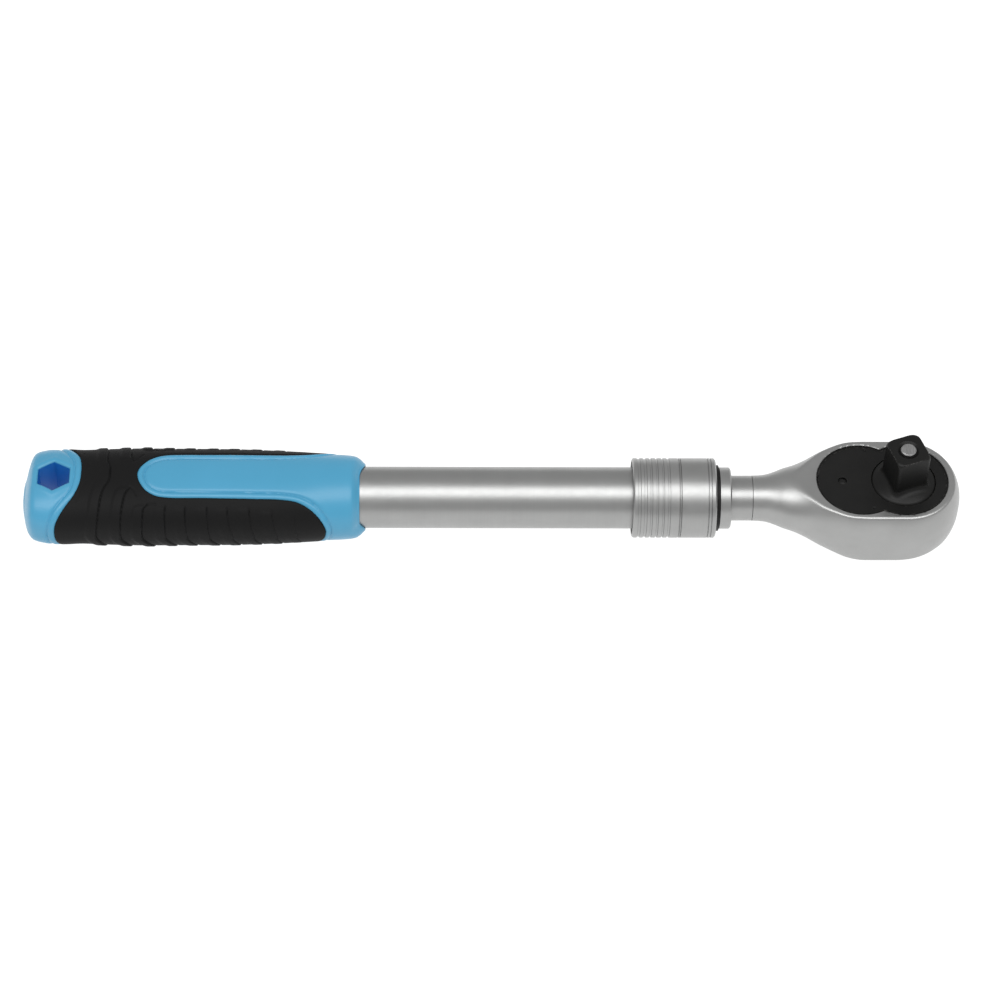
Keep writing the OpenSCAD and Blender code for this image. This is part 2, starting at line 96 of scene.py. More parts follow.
def smin(a, b, k):
    return -smax(-a, -b, k)


def dual_contour(f, lo, hi, h):
    """Closed quad mesh of f = 0 with its edges kept crisp: one vertex a cell, placed by the planes that cross the cell."""
    lo = np.array(lo, float)
    n = np.ceil((np.array(hi, float) - lo) / h).astype(int) + 1
    ax = [lo[k] + h * np.arange(n[k]) for k in range(3)]
    F = np.empty(n, float)
    yz = np.stack(np.meshgrid(ax[1], ax[2], indexing="ij"), -1).reshape(-1, 2)
    for i0 in range(0, n[0], 24):
        xs = ax[0][i0:i0 + 24]
        P = np.empty((len(xs) * len(yz), 3))
        P[:, 0] = np.repeat(xs, len(yz))
        P[:, 1:] = np.tile(yz, (len(xs), 1))
        F[i0:i0 + 24] = f(P).reshape(len(xs), n[1], n[2])
    F[np.abs(F) < 1e-7] = 1e-7
    S = F < 0
    stride = np.array([n[1] * n[2], n[2], 1])
    ids, points, normals, count = [], [], [], []
    for a in range(3):
        b, c = (a + 1) % 3, (a + 2) % 3
        s0, s1 = [slice(1, -1)] * 3, [slice(1, -1)] * 3
        s0[a], s1[a] = slice(0, -1), slice(1, None)
        I = np.argwhere(S[tuple(s0)] != S[tuple(s1)])
        I[:, b] += 1
        I[:, c] += 1
        J = I.copy()
        J[:, a] += 1
        f0, f1 = F[tuple(I.T)], F[tuple(J.T)]
        P0 = lo + h * I
        t0, t1, g0, g1 = np.zeros(len(I)), np.ones(len(I)), f0.copy(), f1.copy()
        for step in range(4):
            t = t0 + (t1 - t0) * np.clip(g0 / (g0 - g1), 0.02, 0.98) if step % 2 == 0 else (t0 + t1) / 2
            P = P0.copy()
            P[:, a] += h * t
            g = f(P)
            low = (g < 0) == (g0 < 0)
            t0, g0 = np.where(low, t, t0), np.where(low, g, g0)
            t1, g1 = np.where(low, t1, t), np.where(low, g1, g)
        t = t0 + (t1 - t0) * g0 / (g0 - g1)
        P = P0.copy()
        P[:, a] += h * t
        G = np.empty_like(P)
        for k in range(3):
            Q = P.copy()
            Q[:, k] += 0.015
            up = f(Q)
            Q[:, k] -= 0.03
            G[:, k] = up - f(Q)
        G /= np.maximum(np.linalg.norm(G, axis=1), 1e-12)[:, None]
        eb, ec = np.zeros(3, int), np.zeros(3, int)
        eb[b], ec[c] = 1, 1
        ring = np.stack([I, I - eb, I - eb - ec, I - ec], 1)
        ring[f0 > 0] = ring[f0 > 0][:, ::-1]
        ids.append((ring @ stride).reshape(-1))
        points.append(np.repeat(P, 4, 0))
        normals.append(np.repeat(G, 4, 0))
        count.append(len(I))
    ids, points, normals = np.concatenate(ids), np.concatenate(points), np.concatenate(normals)
    cell, inv = np.unique(ids, return_inverse=True)
    centre = lo + h * (np.stack([cell // stride[0], cell % stride[0] // stride[1], cell % stride[1]], 1) + 0.5)
    rel = points - centre[inv]
    total = np.bincount(inv)
    mass = np.stack([np.bincount(inv, rel[:, k]) for k in range(3)], 1) / total[:, None]
    A = np.empty((len(cell), 3, 3))
    B = np.empty((len(cell), 3))
    along = (normals * rel).sum(1)
    for i in range(3):
        B[:, i] = np.bincount(inv, normals[:, i] * along)
        for j in range(i, 3):
            A[:, i, j] = A[:, j, i] = np.bincount(inv, normals[:, i] * normals[:, j])
    soft = 0.04 * total
    A += soft[:, None, None] * np.eye(3)
    B += soft[:, None] * mass
    x = np.linalg.solve(A, B[..., None])[..., 0]
    x = np.clip(x, -0.5 * h, 0.5 * h)
    return centre + x, inv.reshape(-1, 4)


# ---------------------------------------------------------------- materials
def hexcol(r, g, b):
    """sRGB 0-255 to a linear colour."""
    out = []
    for c in (r, g, b):
        c /= 255
        out.append(c / 12.92 if c <= 0.04045 else ((c + 0.055) / 1.055) ** 2.4)
    return (*out, 1)


class Mat:
    def __init__(self, name):
        self.m = bpy.data.materials.new(name)
        self.m.use_nodes = True
        self.t = self.m.node_tree
        self.t.nodes.clear()
        self.out = self.t.nodes.new("ShaderNodeOutputMaterial")
        self.p = self.t.nodes.new("ShaderNodeBsdfPrincipled")
        self.t.links.new(self.p.outputs[0], self.out.inputs[0])
        self.coord = self.t.nodes.new("ShaderNodeTexCoord").outputs["Object"]

    def link(self, a, b):
        self.t.links.new(a, b)

    def scaled(self, x, y, z, rot=(0, 0, 0)):
        n = self.t.nodes.new("ShaderNodeMapping")
        n.inputs["Scale"].default_value = (x, y, z)
        n.inputs["Rotation"].default_value = rot
        self.link(self.coord, n.inputs["Vector"])
        return n.outputs[0]

    def noise(self, scale, detail=2.0, rough=0.5, vec=None, distortion=0.0):
        n = self.t.nodes.new("ShaderNodeTexNoise")
        n.inputs["Scale"].default_value = scale
        n.inputs["Detail"].default_value = detail
        n.inputs["Roughness"].default_value = rough
        n.inputs["Distortion"].default_value = distortion
        self.link(vec if vec is not None else self.coord, n.inputs["Vector"])
        return n.outputs["Fac"]

    def ramp(self, fac, lo, hi, a=0.0, b=1.0):
        n = self.t.nodes.new("ShaderNodeMapRange")
        n.inputs["From Min"].default_value = lo
        n.inputs["From Max"].default_value = hi
        n.inputs["To Min"].default_value = a
        n.inputs["To Max"].default_value = b
        self.link(fac, n.inputs["Value"])
        return n.outputs[0]

    def math(self, op, a, b):
        n = self.t.nodes.new("ShaderNodeMath")
        n.operation = op
        for s, v in zip(n.inputs, (a, b)):
            if isinstance(v, (int, float)):
                s.default_value = v
            else:
                self.link(v, s)
        return n.outputs[0]

    def mix(self, fac, a, b):
        n = self.t.nodes.new("ShaderNodeMix")
        n.data_type = "RGBA"
        if isinstance(fac, (int, float)):
            n.inputs[0].default_value = fac
        else:
            self.link(fac, n.inputs[0])
        for s, v in ((n.inputs[6], a), (n.inputs[7], b)):
            if isinstance(v, tuple):
                s.default_value = v
            else:
                self.link(v, s)
        return n.outputs[2]

    def bump(self, height, strength, distance, normal=None):
        n = self.t.nodes.new("ShaderNodeBump")
        n.inputs["Strength"].default_value = strength
        n.inputs["Distance"].default_value = distance
        self.link(height, n.inputs["Height"])
        if normal is not None:
            self.link(normal, n.inputs["Normal"])
        return n.outputs[0]

    def edges(self, radius, lo=0.02, hi=0.2):
        """1 at convex edges: where the bevelled normal leaves the face's own."""
        b = self.t.nodes.new("ShaderNodeBevel")
        b.samples = 6
        b.inputs["Radius"].default_value = radius
        g = self.t.nodes.new("ShaderNodeNewGeometry")
        d = self.t.nodes.new("ShaderNodeVectorMath")
        d.operation = "DOT_PRODUCT"
        self.link(b.outputs[0], d.inputs[0])
        self.link(g.outputs["Normal"], d.inputs[1])
        return self.ramp(d.outputs["Value"], 1 - lo, 1 - hi)

    def set(self, **kw):
        for k, v in kw.items():
            s = self.p.inputs[k.replace("_", " ")]
            if isinstance(v, (int, float, tuple)):
                s.default_value = v
            else:
                self.link(v, s)


def satin_chrome(name, turned):
    m = Mat(name)
    cloud = m.noise(55, 4, 0.6)
    fine = m.noise(5200, 2, 0.6)
    base = m.mix(m.ramp(cloud, 0.3, 0.7), (0.345, 0.347, 0.343, 1), (0.385, 0.387, 0.383, 1))
    rough = m.math("ADD", m.ramp(m.noise(420, 3, 0.6), 0.3, 0.7, 0.35, 0.40), m.ramp(fine, 0.3, 0.7, -0.02, 0.03))
    height = fine
    if turned:
        lines = m.noise(1.0, 2, 0.6, m.scaled(7000, 25, 25))
        height = m.math("ADD", m.math("MULTIPLY", fine, 0.6), m.math("MULTIPLY", lines, 0.8))
        base = m.mix(m.ramp(lines, 0.35, 0.65, 0, 0.25), base, (0.30, 0.302, 0.299, 1))
    m.set(Base_Color=base, Metallic=1.0, Roughness=rough, Normal=m.bump(height, 0.14, 0.00003))
    return m.m


def bright_steel(name, level=0.60, rough=0.24, hatch=False):
    m = Mat(name)
    fine = m.noise(2600, 3, 0.6)
    cloud = m.noise(160, 3, 0.6)
    base = m.mix(m.ramp(cloud, 0.3, 0.7), (level * 0.90, level * 0.90, level * 0.89, 1), (level, level, level, 1))
    height = fine
    if hatch:
        lines = m.noise(1.0, 1, 0.5, m.scaled(4200, 260, 260, (0, 0, math.radians(40))))
        height = lines
        base = m.mix(m.ramp(lines, 0.35, 0.6), (level * 0.72, level * 0.72, level * 0.72, 1), base)
    m.set(Base_Color=base, Metallic=1.0, Roughness=m.ramp(cloud, 0.3, 0.7, rough, rough + 0.12),
          Normal=m.bump(height, 0.25, 0.00003))
    return m.m


def black_oxide(name, worn=0.5, sheen=0.38, reach=0.00028):
    m = Mat(name)
    cloud = m.noise(140, 4, 0.6)
    fine = m.noise(4200, 3, 0.65)
    base = m.mix(m.ramp(cloud, 0.3, 0.7), (0.0052, 0.0052, 0.0050, 1), (0.0075, 0.0074, 0.0071, 1))
    rub = m.math("MULTIPLY", m.edges(reach), m.ramp(m.noise(900, 4, 0.7), 0.47, 0.62, 0, worn))
    m.set(Base_Color=m.mix(rub, base, (0.30, 0.29, 0.28, 1)), Metallic=m.math("MULTIPLY", rub, 0.9),
          Roughness=m.ramp(fine, 0.3, 0.7, sheen, sheen + 0.12), Specular_IOR_Level=0.2,
          Normal=m.bump(fine, 0.28, 0.00004))
    return m.m


def plastic(name, light, dark, rough, grain, grain_scale, specular=0.45, hole=None):
    m = Mat(name)
    cloud = m.noise(38, 3, 0.5)
    fine = m.noise(grain_scale, 3, 0.6)
    base = m.mix(m.ramp(cloud, 0.3, 0.7), dark, light)
    if hole is not None:
        # painted shade: the hanging hole's upright walls get a darker, deeper blue that stands in for the shade
        # inside the hole
        p = m.t.nodes.new("ShaderNodeSeparateXYZ")
        m.link(m.coord, p.inputs[0])
        g = m.t.nodes.new("ShaderNodeNewGeometry")
        n = m.t.nodes.new("ShaderNodeSeparateXYZ")
        m.link(g.outputs["Normal"], n.inputs[0])
        dx = m.math("SUBTRACT", p.outputs[0], -0.3076)
        r2 = m.math("ADD", m.math("MULTIPLY", dx, dx), m.math("MULTIPLY", p.outputs[1], p.outputs[1]))
        near = m.ramp(m.math("SQRT", r2, 0.0), 0.0074, 0.0070)
        upright = m.ramp(m.math("ABSOLUTE", n.outputs[2], 0.0), 0.45, 0.2)
        base = m.mix(m.math("MULTIPLY", near, upright), base, hole)
    m.set(Base_Color=base, Roughness=m.ramp(fine, 0.3, 0.7, rough - 0.05, rough + 0.06),
          Specular_IOR_Level=specular, Normal=m.bump(fine, grain, 0.00005))
    return m.m


CHROME = satin_chrome("satin_chrome", False)
CHROME_TURNED = satin_chrome("satin_chrome_turned", True)
STEEL = bright_steel("bright_steel")
STEEL_TIP = bright_steel("bright_steel_hatched", 0.42, 0.34, True)
SPRING = bright_steel("spring_steel", 0.34, 0.30)
OXIDE = black_oxide("black_oxide", 0.25, 0.42)
OXIDE_WORN = black_oxide("black_oxide_worn", 0.9, 0.34, 0.0006)
# blue plastic; its last colour is painted shade, a darker, deeper blue for the hanging hole's upright walls
BLUE = plastic("blue_plastic", hexcol(70, 149, 185), hexcol(67, 146, 181), 0.34, 0.10, 2600, 0.5, (0.011, 0.17, 0.55, 1))
GRIP = plastic("black_grip", (0.0068, 0.0068, 0.0069, 1), (0.0055, 0.0055, 0.0056, 1), 0.60, 0.30, 3400, 0.13)
PLUG = plastic("plug_plastic", hexcol(48, 48, 50), hexcol(40, 40, 42), 0.5, 0.15, 2000)

SLOT_OF = {}


def dress(ob, mat):
    ob.data.materials.clear()
    ob.data.materials.append(mat)


for name, mat, slot in [
    ("ratchet_head", CHROME, "satin_chrome"), ("cover_plate", OXIDE, "black_oxide"),
    ("retaining_ring", OXIDE, "black_oxide"), ("drive_gear", OXIDE_WORN, "black_oxide"),
    ("release_button", STEEL_TIP, "bright_steel"), ("release_spring", SPRING, "spring_steel"),
    ("button_retainer", SPRING, "spring_steel"), ("detent_ball", STEEL, "bright_steel"),
    ("pawl", STEEL, "bright_steel"), ("pawl_pin", OXIDE_WORN, "black_oxide"),
    ("selector_shaft", STEEL, "bright_steel"), ("reversing_lever", OXIDE_WORN, "black_oxide"),
    ("lever_pin", STEEL, "bright_steel"), ("selector_plunger", STEEL, "bright_steel"),
    ("selector_spring", SPRING, "spring_steel"), ("inner_bar", CHROME_TURNED, "satin_chrome"),
    ("stop_ring", SPRING, "spring_steel"), ("outer_tube", CHROME_TURNED, "satin_chrome"),
    ("lock_collar", CHROME_TURNED, "satin_chrome"), ("collar_spring", SPRING, "spring_steel"),
    ("spring_seat", STEEL, "bright_steel"), ("collar_clip", OXIDE, "black_oxide"),
    ("lock_ball_1", STEEL, "bright_steel"), ("lock_ball_2", STEEL, "bright_steel"),
    ("lock_ball_3", STEEL, "bright_steel"), ("tube_plug", PLUG, "plug_plastic"),
    ("handle_core", BLUE, "blue_plastic"), ("grip_overmould", GRIP, "black_grip"),
]:
    dress(NODES[name], mat)


# ---------------------------------------------------------------- ratchet head
RY = curve([(-57.8, 8.2), (-53, 8.3), (-50, 8.6), (-46.3, 9.9), (-43.4, 11.2), (-39.3, 12.6), (-35, 14.5),
            (-30, 17.3), (-25, 19.9), (-20, 22.8), (-10, 28)])
RZ = curve([(-57.8, 8.2), (-53, 8.25), (-50, 8.5), (-46.3, 9.2), (-43.4, 10.1), (-39.3, 11.05), (-35, 12.9),
            (-30, 15.9), (-25, 18.9), (-20, 22.4), (-10, 28)])
HW = curve([(-57.8, 12.5), (-43, 14.6), (-38, 15.8), (-33, 17.0), (-29, 18.0), (-26, 18.8), (-23, 19.5),
            (-20, 20.05), (-17, 20.35), (-13, 20.5), (3, 20.5)])


def head_sdf(P):
    x, y, z = P[:, 0], P[:, 1], P[:, 2]
    w = z - AZ
    ry, rz = RY(x), RZ(x) * (1 + 0.06 * (w < 0) * np.exp(-((x + 36) / 7) ** 2))
    q = np.sqrt((y / ry) ** 2 + (w / rz) ** 2) + 1e-9
    loft = (q - 1) * q / np.sqrt((y / ry ** 2) ** 2 + (w / rz ** 2) ** 2 + 1e-12)
    loft = np.maximum(loft, -8.0)
    plan = np.where(x < 0.7, np.abs(y) - HW(x), np.hypot(x - 0.7, y) - 20.5)
    plan = plan + 2.65 * (np.clip(w, 0, 11) / 11) ** 2.4
    plan = plan + 1.5 * (np.clip(-w - 2, 0, 9) / 9) ** 2 * np.clip((x + 2) / 14, 0, 1)
    body = smax(loft, plan, 3.2)
    body = smax(body, z + 1.2, 0.75)
    body = smax(body, -23.2 - z, 1.2)
    body = np.maximum(body, -54.5 - x)
    rad = np.hypot(y, w)
    spigot = np.maximum(rad - 5 + np.clip(-71.2 - x, 0, 0.4), np.maximum(-71.6 - x, x + 54))
    body = np.minimum(body, spigot)
    r0, r1 = np.hypot(x, y), np.hypot(x + 15.6, y)
    lobe = np.minimum(r1 - 16.1, r0 - 16.2)
    cut = np.maximum(lobe - np.clip(z + 1.42, 0, 0.25), -3.7 - z)
    groove = np.maximum(lobe - 0.4, np.maximum(-2.5 - z, z + 1.8))
    pocket = np.maximum(np.minimum(r1 - 15.2, r0 - 14.9), np.maximum(-17.7 - z, z + 3.0))
    bore = np.maximum(r0 - 9.06 - np.clip(-22.9 - z, 0, 0.4), z + 17)
    shaft = np.maximum(np.hypot(x + 28.1, y) - 2.26, z + 17)
    pin = np.maximum(np.hypot(x + 22.2, y) - 1.5, np.maximum(z + 17, -21.7 - z))
    cut = np.minimum(np.minimum(cut, groove), np.minimum(pocket, np.minimum(bore, np.minimum(shaft, pin))))
    return np.maximum(body, -cut)


v, q = dual_contour(head_sdf, (-72.4, -21.5, -24.2), (22.2, 21.5, -0.3), 0.41)
head = make_object("head_forging", v, [q], sharp=38)
dress(head, CHROME)
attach(head, "head")
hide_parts("ratchet_head")


# ---------------------------------------------------------------- drive square, hub and gear in one
TURN = math.radians(20)


def drive_sdf(P):
    x, y, z = P[:, 0], P[:, 1], P[:, 2]
    r = np.hypot(x, y)
    c, s = math.cos(TURN), math.sin(TURN)
    u, v = c * x + s * y, -s * x + c * y
    tooth = math.radians(5)
    a = np.abs((np.arctan2(y, x) + tooth / 2) % tooth - tooth / 2) * 14
    gear = np.maximum(np.maximum(r - 14.4, np.minimum(r - 13.6, (a - 0.3) * 0.86 - (14.4 - r) * 0.55)),
                      np.maximum(-17.6 - z, z + 5.6))
    ring = np.maximum(r - 13.2, np.maximum(-6 - z, z + 3.76))
    top = -1.8 * np.clip((r - 6.6) / 5.1, 0, 1) ** 1.5
    hub = np.maximum(smax(r - 11.7, (z - top) * 0.9, 1.1), -17 - z)
    journal = np.maximum(r - 9, np.maximum(-22.9 - z, z + 17))
    sq = smax(np.abs(u) - 6.35, np.abs(v) - 6.35, 0.6)
    # corners turned to 8.45 and the end turned over a large radius
    er = 1.7
    er_r, er_z = r - (8.45 - er), z - (15.7 - er)
    end = np.where((er_r > 0) & (er_z > 0), np.hypot(er_r, er_z) - er, np.maximum(er_r, er_z) - er)
    sq = smax(sq, end, 0.4)
    sq = np.maximum(sq, -1 - z)
    body = np.minimum(np.minimum(gear, ring), np.minimum(smin(hub, sq, 2.2), journal))
    mouth = r - (2.85 + np.clip((z - 14.75) * 1.4, 0, 1.35))
    bore = np.maximum(mouth, -13 - z)
    button = np.maximum(r - 4.6, z + 12.5)
    snap = np.maximum(r - 5.15, np.maximum(-22.4 - z, z + 21.55))
    rb = np.hypot(v, z - 7.8)
    ball = np.maximum(np.maximum(rb - 2.45, u - 6.0), -u)
    ball2 = np.maximum(rb - 2.14 - np.clip(u - 6.1, 0, 0.4) * 0.6, -u)
    cut = np.minimum(np.minimum(bore, np.minimum(button, snap)), np.minimum(ball, ball2))
    return np.maximum(body, -cut)


v, q = dual_contour(drive_sdf, (-15.1, -15.1, -23.6), (15.1, 15.1, 16.4), 0.30)
drive = make_object("drive_gear_square", v, [q], sharp=36)
dress(drive, OXIDE_WORN)
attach(drive, "drive")
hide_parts("drive_gear")


# ---------------------------------------------------------------- springs
def coil(name, r, wire, z0, z1, turns, place, seg=56, sides=14, flat=0.75):
    """Round-wire spring; place maps local points (about Z) to the frame. Its end turns close up."""
    n = int(turns * seg)
    u = np.linspace(0, 1, n + 1)
    # end turns run nearly flat, the free turns share the rest of the length
    e = flat / turns
    ramp = np.clip((u - e) / (1 - 2 * e), 0, 1)
    z = z0 + (z1 - z0) * (0.0 + ramp) + (wire * 0.0)
    z = z0 + (z1 - z0) * np.clip(0.06 * np.minimum(u / e, 1) + 0.88 * ramp + 0.06 * np.clip((u - 1 + e) / e, 0, 1), 0, 1)
    ang = 2 * math.pi * turns * u
    c = np.stack([r * np.cos(ang), r * np.sin(ang), z], 1)
    radial = np.stack([np.cos(ang), np.sin(ang), 0 * ang], 1)
    b = 2 * math.pi * np.arange(sides) / sides
    ring = c[:, None] + wire / 2 * (np.cos(b)[None, :, None] * radial[:, None] + np.sin(b)[None, :, None] * np.array([0, 0, 1.0]))
    V = ring.reshape(-1, 3)
    i, k = np.meshgrid(np.arange(n), np.arange(sides), indexing="ij")
    m = (k + 1) % sides
    quads = np.stack([i * sides + k, (i + 1) * sides + k, (i + 1) * sides + m, i * sides + m], -1).reshape(-1, 4)
    V = np.concatenate([V, c[:1], c[-1:]])
    k = np.arange(sides)
    cap0 = np.stack([k, (k + 1) % sides, np.full(sides, len(V) - 2)], 1)
    cap1 = np.stack([n * sides + (k + 1) % sides, n * sides + k, np.full(sides, len(V) - 1)], 1)
    ob = make_object(name, place(V), [quads, cap0, cap1], sharp=50)
    dress(ob, SPRING)
    return ob


def about_bar(V):
    return np.stack([V[:, 2], V[:, 1], AZ - V[:, 0]], 1)


s = coil("collar_return_spring", 12.3, 0.9, -95.1, -84.5, 4, about_bar)
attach(s, "handle_tube")
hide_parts("collar_spring")
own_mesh(s)

s = coil("button_return_spring", 3.75, 0.6, -18.65, -12.85, 4, lambda V: V, 40, 12)
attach(s, "drive")
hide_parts("release_spring")
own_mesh(s)

LEVER_A = math.radians(-25)
cl, sl = math.cos(LEVER_A), math.sin(LEVER_A)
SEL_Z = -11.65


def along_plunger(V):
    return np.stack([-28.1 + V[:, 2] * cl - V[:, 1] * sl, V[:, 2] * sl + V[:, 1] * cl, SEL_Z - V[:, 0]], 1)


s = coil("plunger_return_spring", 0.7, 0.28, -1.66, 0.74, 4, along_plunger, 32, 10)
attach(s, "lever")
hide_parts("selector_spring")
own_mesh(s)


# ---------------------------------------------------------------- handle
X0 = -319.6
SF, CF = math.sin(math.radians(51.5)), math.cos(math.radians(51.5))
EF = curve([(0.35, 2.6), (0.45, 3.4), (0.7, 5.9), (1.05, 7.6), (1.4, 9.1), (1.8, 10.5), (2.15, 11.6), (2.9, 13.3), (3.6, 14.5),
            (4.7, 15.6), (7.6, 16.5), (10.5, 16.9), (16, 16.85), (22, 16.6),
            (30, 16.9), (45, 17.2), (60, 17.1), (75, 17.0), (86, 16.7), (95, 16.3), (101, 16.0), (106, 15.7),
            (109.3, 15.5), (115, 15.3), (119, 15.0), (120.9, 14.6), (122.5, 13.6), (123.6, 12.5), (124.3, 11.9)])
SAG = curve([(0.35, -1.8), (0.7, -2.3), (1.05, -3.0), (1.4, -3.3), (1.8, -2.9), (2.15, -2.4), (2.9, -1.4), (3.6, -0.67), (4.7, -0.15), (6, 0), (130, 0)])
KF = curve([(0, 0.72), (15, 0.72), (30, 0.735), (60, 0.745), (85, 0.76), (100, 0.82), (112, 0.90), (125, 0.93)])
NF = curve([(0, 2.6), (20, 2.5), (60, 2.4), (90, 2.3), (112, 2.1), (125, 2.05)])
HEX_D, HEX_AF = 12.0, 11.5
LEN = 124.3
REAR = 0.42


def section(d):
    n = NF(d)
    m = n / (n - 1)
    k = KF(d)
    a = EF(d) / ((SF ** m + (k * CF) ** m) ** (1 / m))
    return a, a * k, n


def scallop(x):
    x = np.clip(x, 0, 1)
    return x * x * (3 - 2 * x)


def skin(d, t, sy, sz, h):
    """Point on the handle's skin at d mm from its rear end and t mm round from the centre-line, raised by h."""
    a, b, n = section(d)
    a1, b1, _ = section(d + 0.05)
    a0, b0, _ = section(np.maximum(d - 0.05, 0.36))
    w = t / 26.5 * math.pi / 2
    s, c = np.sin(w), np.cos(w)
    q = (s ** n + c ** n) ** (1 / n)
    u, v = s / q, c / q
    gx = -(u ** n * (a1 - a0) / 0.1 / a + v ** n * (b1 - b0) / 0.1 / b)
    gx = np.where(d > LEN - 0.06, 0, gx)
    gy, gz = u ** (n - 1) / a, v ** (n - 1) / b
    g = np.sqrt(gx ** 2 + gy ** 2 + gz ** 2)
    # the front edge is set back on two opposite quarters
    back = np.where(sy < 0, np.where(sz > 0, 1.0, 1 - scallop((26.5 - t) / 10)),
                    np.where(sz > 0, 1 - scallop(t / 14), scallop(t / 8) * scallop((26.5 - t) / 8)))
    back = 2.0 * back * scallop((d - 115.5) / 8.5)
    return np.stack([X0 + d - back + h * gx / g, sy * (a * u + h * gy / g), AZ + SAG(d) + sz * (b * v + h * gz / g)], -1)


def spline(pts, step=0.4):
    """Smooth curve through (d, t) points, as a dense polyline."""
    p = np.array(pts, float)
    ext = np.concatenate([[2 * p[0] - p[1]], p, [2 * p[-1] - p[-2]]])
    out = []
    for i in range(1, len(ext) - 2):
        p0, p1, p2, p3 = ext[i - 1], ext[i], ext[i + 1], ext[i + 2]
        l1, l2, l3 = [max(np.linalg.norm(b - a), 1e-6) ** 0.5 for a, b in ((p0, p1), (p1, p2), (p2, p3))]
        m1 = (p2 - p1) + l2 * ((p1 - p0) / l1 - (p2 - p0) / (l1 + l2))
        m2 = (p2 - p1) + l2 * ((p3 - p2) / l3 - (p3 - p1) / (l2 + l3))
        k = max(2, int(np.linalg.norm(p2 - p1) / step))
        s = np.arange(k)[:, None] / k
        out.append((2 * s ** 3 - 3 * s ** 2 + 1) * p1 + (s ** 3 - 2 * s ** 2 + s) * m1
                   + (-2 * s ** 3 + 3 * s ** 2) * p2 + (s ** 3 - s ** 2) * m2)
    out.append(p[-1:])
    return np.concatenate(out)


def to_line(d, t, line, mirrored=True):
    """Distance from (d, t) to a polyline. The mirrored argument is not used."""
    shape = np.shape(d)
    d, t = np.ravel(d), np.ravel(t)
    best = np.full(len(d), 1e9)
    A, B = line[:-1], line[1:]
    E = B - A
    L2 = np.maximum((E ** 2).sum(1), 1e-12)
    for i in range(0, len(d), 20000):
        P = np.stack([d[i:i + 20000], t[i:i + 20000]], 1)[:, None]
        s = np.clip(((P - A) * E).sum(2) / L2, 0, 1)
        r = P - A - s[..., None] * E
        best[i:i + 20000] = np.sqrt((r ** 2).sum(2).min(1))
    return best.reshape(shape)


def inside(d, t, poly):
    shape = np.shape(d)
    d, t = np.ravel(d), np.ravel(t)
    out = np.zeros(len(d), bool)
    for (x0, y0), (x1, y1) in zip(poly, np.roll(poly, -1, 0)):
        if y0 == y1:
            continue
        hit = ((y0 > t) != (y1 > t)) & (d < (x1 - x0) * (t - y0) / (y1 - y0) + x0)
        out ^= hit
    return out.reshape(shape)


def capped(line, side):
    """Polygon of everything on one side (-60 rear, 200 front) of a line that runs from t = 0 to t = 26.5."""
    return np.concatenate([[[side, line[0][1]]], line, [[side, line[-1][1]]]])


def extended(pts):
    """Lets a line run past t = 0 and t = 26.5, square to both."""
    p = list(pts)
    return [(2 * p[0][0] - p[0][0], -3.0)] + p + [(p[-1][0], 29.5)]


CAP = spline(extended([(22.0, 0), (21.85, 2.4), (21.3, 4.8), (19.7, 8.5), (17.6, 11.4), (16.2, 13.4), (14.4, 16.6), (13.2, 20), (12.7, 23.5), (12.6, 26.5)]))
CAP_IN = spline(extended([(19.5, 0), (19.35, 2.4), (18.7, 5.2), (17.3, 7.7), (15.3, 10.1), (13.4, 12.7), (11.7, 16.0), (10.6, 19.6), (10.0, 23.5), (9.8, 26.5)]))
PANEL = spline(extended([(42.3, 0), (42.6, 1.9), (43.4, 3.8), (45.5, 6.6), (49.0, 8.6), (53, 9.3), (66.6, 9.5), (84, 9.9), (94, 10.5), (100.2, 11.9),
                         (104.6, 14.9), (107.7, 18.8), (109.6, 23), (110.3, 26.5)]))
PANEL_IN = spline(extended([(44.7, 0), (45.0, 1.9), (46.0, 3.9), (48.3, 5.9), (51, 6.9), (55, 7.2), (66.6, 7.3), (84, 7.6), (95, 8.3), (101.5, 9.9),
                            (106.3, 13.2), (109.6, 17.6), (111.6, 22.4), (112.3, 26.5)]))
CAP_P, CAP_IN_P = capped(CAP, -60), capped(CAP_IN, -60)
PANEL_P, PANEL_IN_P = capped(PANEL, 200), capped(PANEL_IN, 200)


def ease(x):
    x = np.clip(x, 0, 1)
    return x * x * (3 - 2 * x)


def warp(d, t, sy, sz):
    """How far the grip's pattern sits towards the front, round the handle: it isn't quite symmetrical."""
    far = np.interp(d, [14, 50, 105], [2.0, 2.4, 4.7])
    low = np.interp(d, [14, 28, 45, 85, 100, 112], [0, 2.1, 3.8, 4.5, 3.0, 0.8])
    up = ease(t / 26.5)
    top = np.where(sy > 0, far * ease(t / 14), 0.0)
    under = np.where(sy > 0, low * (1 - up) + far * up, low * ease((26.5 - t) / 10))
    return np.where(sz > 0, top, under)


def phi(d, t):
    """Distance to the colour boundary: above zero on the blue, below on the black grip."""
    blue = inside(d, t, CAP_P) | inside(d, t, PANEL_P)
    dist = np.minimum(to_line(d, t, CAP), to_line(d, t, PANEL))
    return np.where(blue, dist, -dist)


def hexagon(d, t):
    """Distance to the hanging hole's side, below zero inside it, measured in plan."""
    a, b, n = section(d)
    w = t / 26.5 * math.pi / 2
    s, c = np.sin(w), np.cos(w)
    y = a * s / (s ** n + c ** n) ** (1 / n)
    px = np.abs(d - HEX_D)
    flat = np.maximum(px, px * 0.5 + y * 0.8660254) - HEX_AF / 2
    return flat


